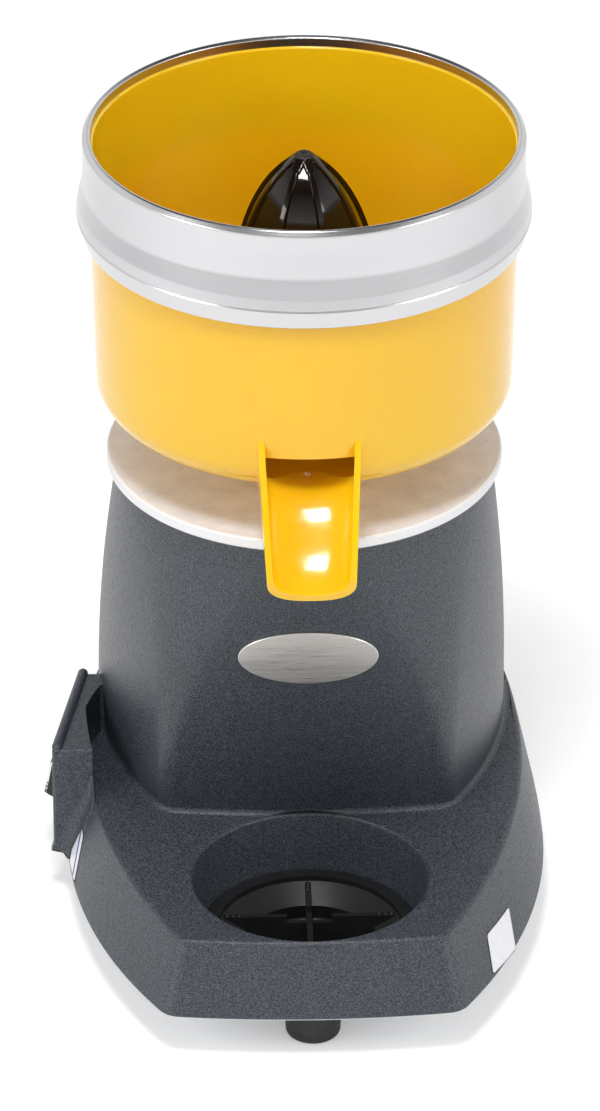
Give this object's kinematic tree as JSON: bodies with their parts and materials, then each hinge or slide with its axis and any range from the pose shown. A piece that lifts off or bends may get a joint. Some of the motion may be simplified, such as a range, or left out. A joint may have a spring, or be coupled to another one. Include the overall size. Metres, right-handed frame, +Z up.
{
  "type": "electric_citrus_juicer",
  "caption": "Motor-driven citrus juicer with a leaning painted column, glass stand with drip tray, plastic bowl with spout, strainer and fluted squeezing cone.",
  "frame": {"origin": "on the standing surface, in the middle of the machine's whole footprint, 5.5 mm left of the motor shaft's axis and 5.3 mm in front of it", "axes": "+Z is up, -Y is the front, where the spout and the glass stand are, and +X is to the right seen from the front"},
  "size_m": [0.2135, 0.3162, 0.3494],
  "materials": {
    "body_paint": "dark blue-grey textured powder coat on an aluminium casting",
    "raw_aluminium": "machined and tumbled aluminium, slightly mottled",
    "satin_ring": "satin lacquered metal with a spun grain",
    "steel": "stainless steel, fine brushed",
    "bearing_steel": "ground and polished bearing steel",
    "lamination": "stacked electrical steel sheets, lightly oiled",
    "copper": "varnished copper wire, tied and dipped",
    "zinc_steel": "zinc-plated sheet steel",
    "badge_steel": "bare brushed stainless plate with a polished edge",
    "bowl_plastic": "glossy yellow-orange food plastic, slightly translucent",
    "cone_plastic": "glossy dark smoke-brown translucent plastic",
    "black_plastic": "black moulded plastic, fine satin texture",
    "white_plastic": "off-white moulded plastic",
    "clear_skin": "clear flexible splash skin",
    "rubber": "black rubber, dull"
  },
  "bodies": {
    "root": {"body_casting": "body_paint", "top_flange": "raw_aluminium", "flange_screws": "steel", "bowl_stop_pins": "steel", "shaft_seal": "rubber", "upper_bearing_outer_ring": "bearing_steel", "lower_bearing_outer_ring": "bearing_steel", "stator_core": "lamination", "stator_windings": "copper", "lower_motor_shield": "raw_aluminium", "motor_bolts": "steel", "switch_bezel": "black_plastic", "switch_body": "black_plastic", "base_plate": "zinc_steel", "base_plate_screws": "steel", "foot_studs": "steel", "foot_nuts": "steel", "badge_plate": "badge_steel", "capacitor": "white_plastic", "capacitor_clip": "zinc_steel", "terminal_block": "white_plastic", "gland_body": "black_plastic", "gland_nut": "black_plastic", "gland_lock_nut": "black_plastic", "front_foot": "rubber", "left_rear_foot": "rubber", "right_rear_foot": "rubber"},
    "rotor": {"motor_shaft": "steel", "drive_pin": "steel", "rotor_core": "lamination", "upper_bearing_inner_ring": "bearing_steel", "lower_bearing_inner_ring": "bearing_steel", "upper_bearing_balls": "bearing_steel", "lower_bearing_balls": "bearing_steel", "cooling_fan": "black_plastic"},
    "bowl": {"juice_bowl": "bowl_plastic"},
    "strainer": {"strainer": "steel"},
    "hub": {"drive_hub": "raw_aluminium"},
    "cone": {"squeezing_cone": "cone_plastic"},
    "ring": {"splash_ring": "satin_ring"},
    "tray": {"drip_tray": "black_plastic"},
    "rocker": {"rocker": "black_plastic", "rocker_cover": "clear_skin"}
  },
  "joints": [
    {"name": "shaft_spin", "type": "hinge", "parent": "root", "child": "rotor", "pos_m": [0.0055, 0.0053, 0.1], "axis": [0, 0, 1], "continuous": true},
    {"name": "bowl_lift", "type": "slide", "parent": "root", "child": "bowl", "axis": [0, 0, 1], "range_m": [0, 0.12]},
    {"name": "strainer_lift", "type": "slide", "parent": "bowl", "child": "strainer", "axis": [0, 0, 1], "range_m": [0, 0.11]},
    {"name": "cone_spin", "type": "hinge", "parent": "strainer", "child": "hub", "pos_m": [0.0055, 0.0053, 0.28], "axis": [0, 0, 1], "continuous": true},
    {"name": "cone_lift", "type": "slide", "parent": "hub", "child": "cone", "axis": [0, 0, 1], "range_m": [0, 0.06]},
    {"name": "ring_lift", "type": "slide", "parent": "bowl", "child": "ring", "axis": [0, 0, 1], "range_m": [0, 0.08]},
    {"name": "tray_lift", "type": "slide", "parent": "root", "child": "tray", "axis": [0, 0, 1], "range_m": [0, 0.04]},
    {"name": "rocker_tilt", "type": "hinge", "parent": "root", "child": "rocker", "pos_m": [-0.09888, 0.01011, 0.0385], "axis": [0.1792, 0.9838, 0], "range_deg": [0, 21.2]}
  ],
  "couplings": [
    {"joint": "cone_spin", "follows": "shaft_spin", "ratio": 1}
  ]
}
